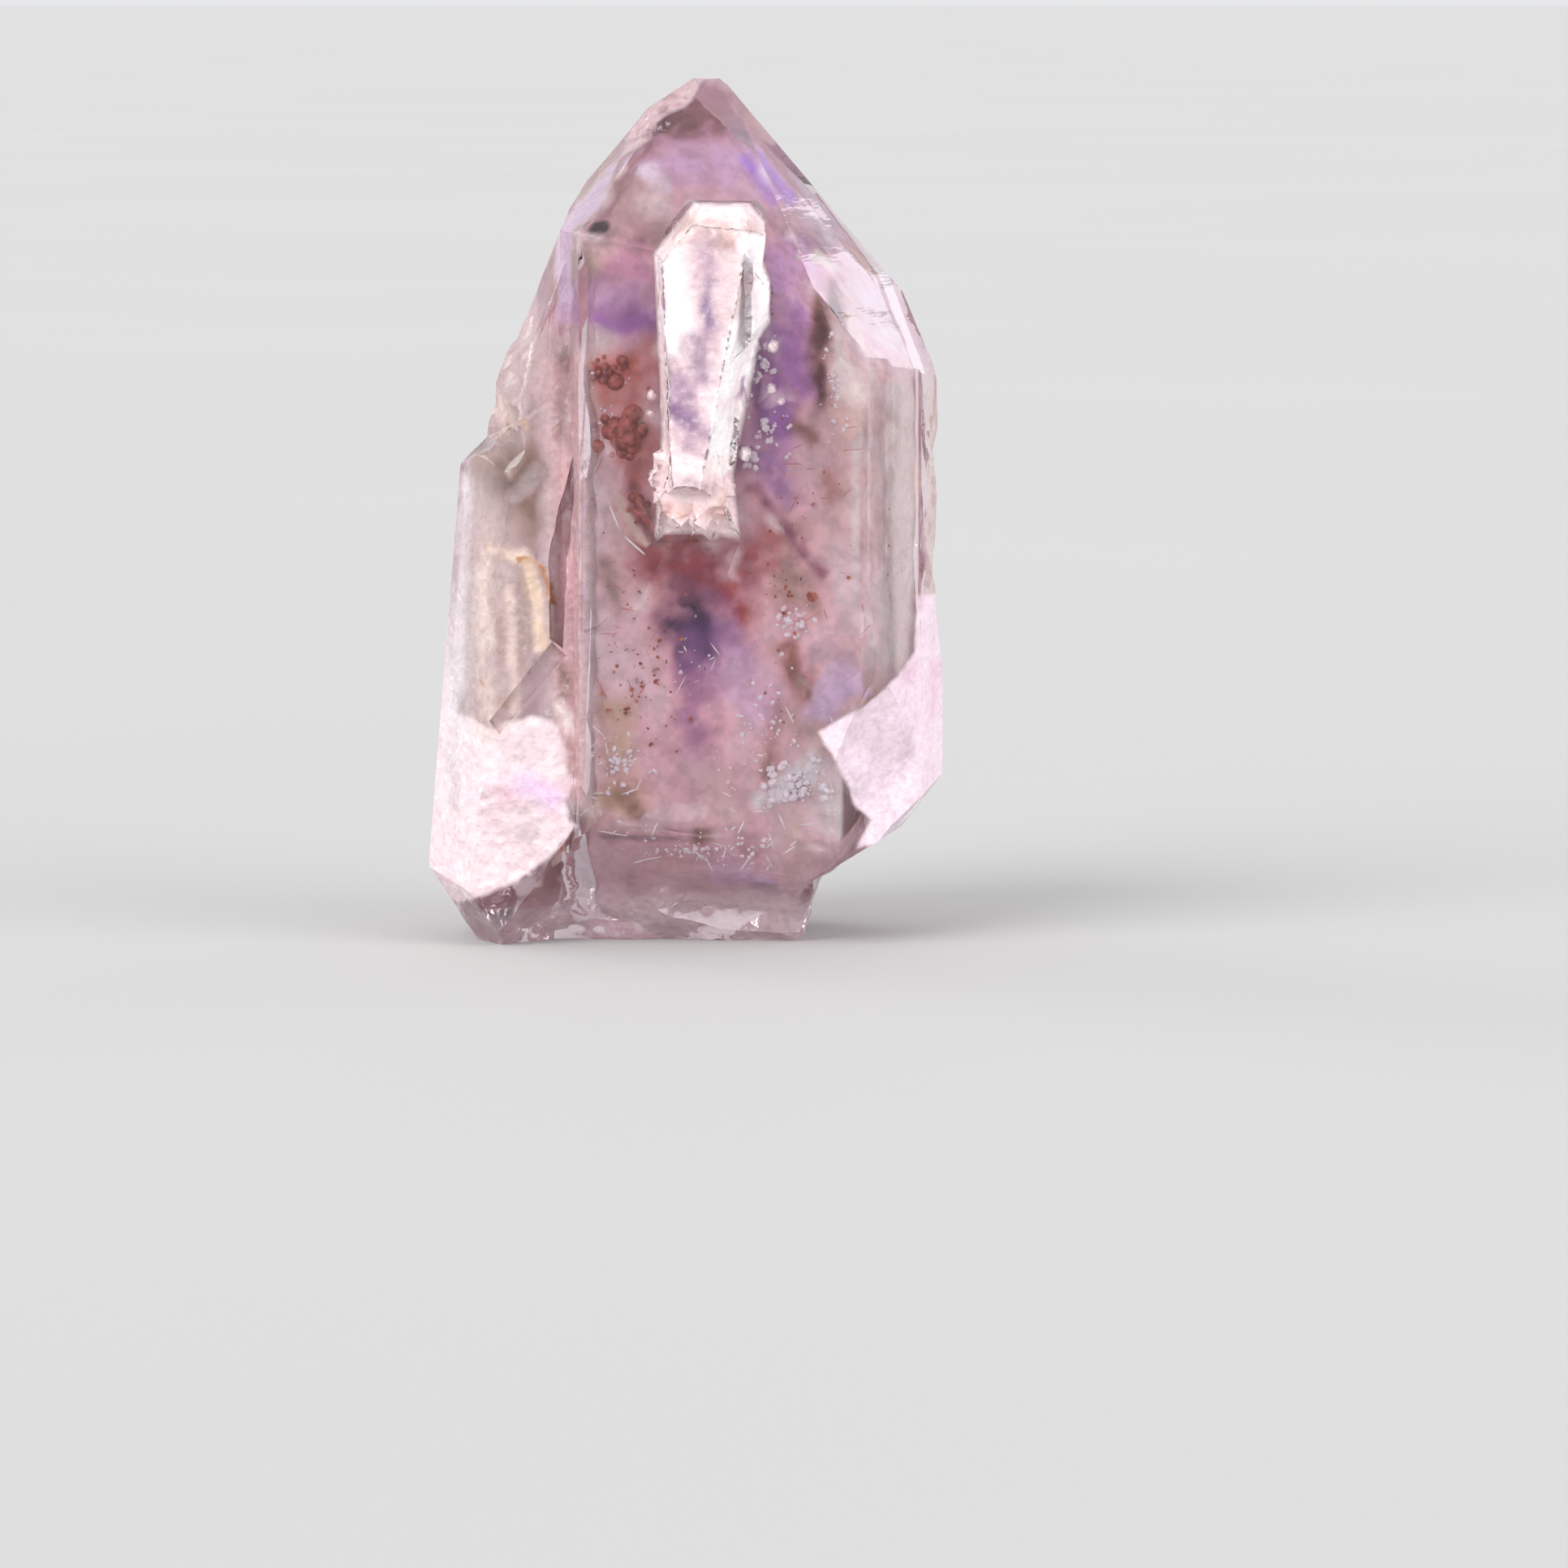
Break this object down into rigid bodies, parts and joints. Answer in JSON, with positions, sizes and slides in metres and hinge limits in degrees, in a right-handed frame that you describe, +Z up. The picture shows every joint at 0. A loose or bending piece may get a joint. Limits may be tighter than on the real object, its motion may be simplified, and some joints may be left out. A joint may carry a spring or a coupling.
{
  "type": "brandberg amethyst crystal",
  "caption": "Clear to violet quartz crystal with side-grown parallel crystals, a small crystal on its front and a broken foot that it stands on.",
  "frame": {"origin": "bottom centre of the bounding box, on the flat base", "axes": "+Z up along the crystal's long axis, the broad front face looking along -Y, +X to its right"},
  "size_m": [0.0212, 0.016, 0.0352],
  "materials": {
    "quartz": "clear crystal faces with pink-violet zones and veils inside, etched white patches and a broken foot"
  },
  "bodies": {
    "root": {"amethyst_crystal": "quartz"}
  },
  "joints": []
}
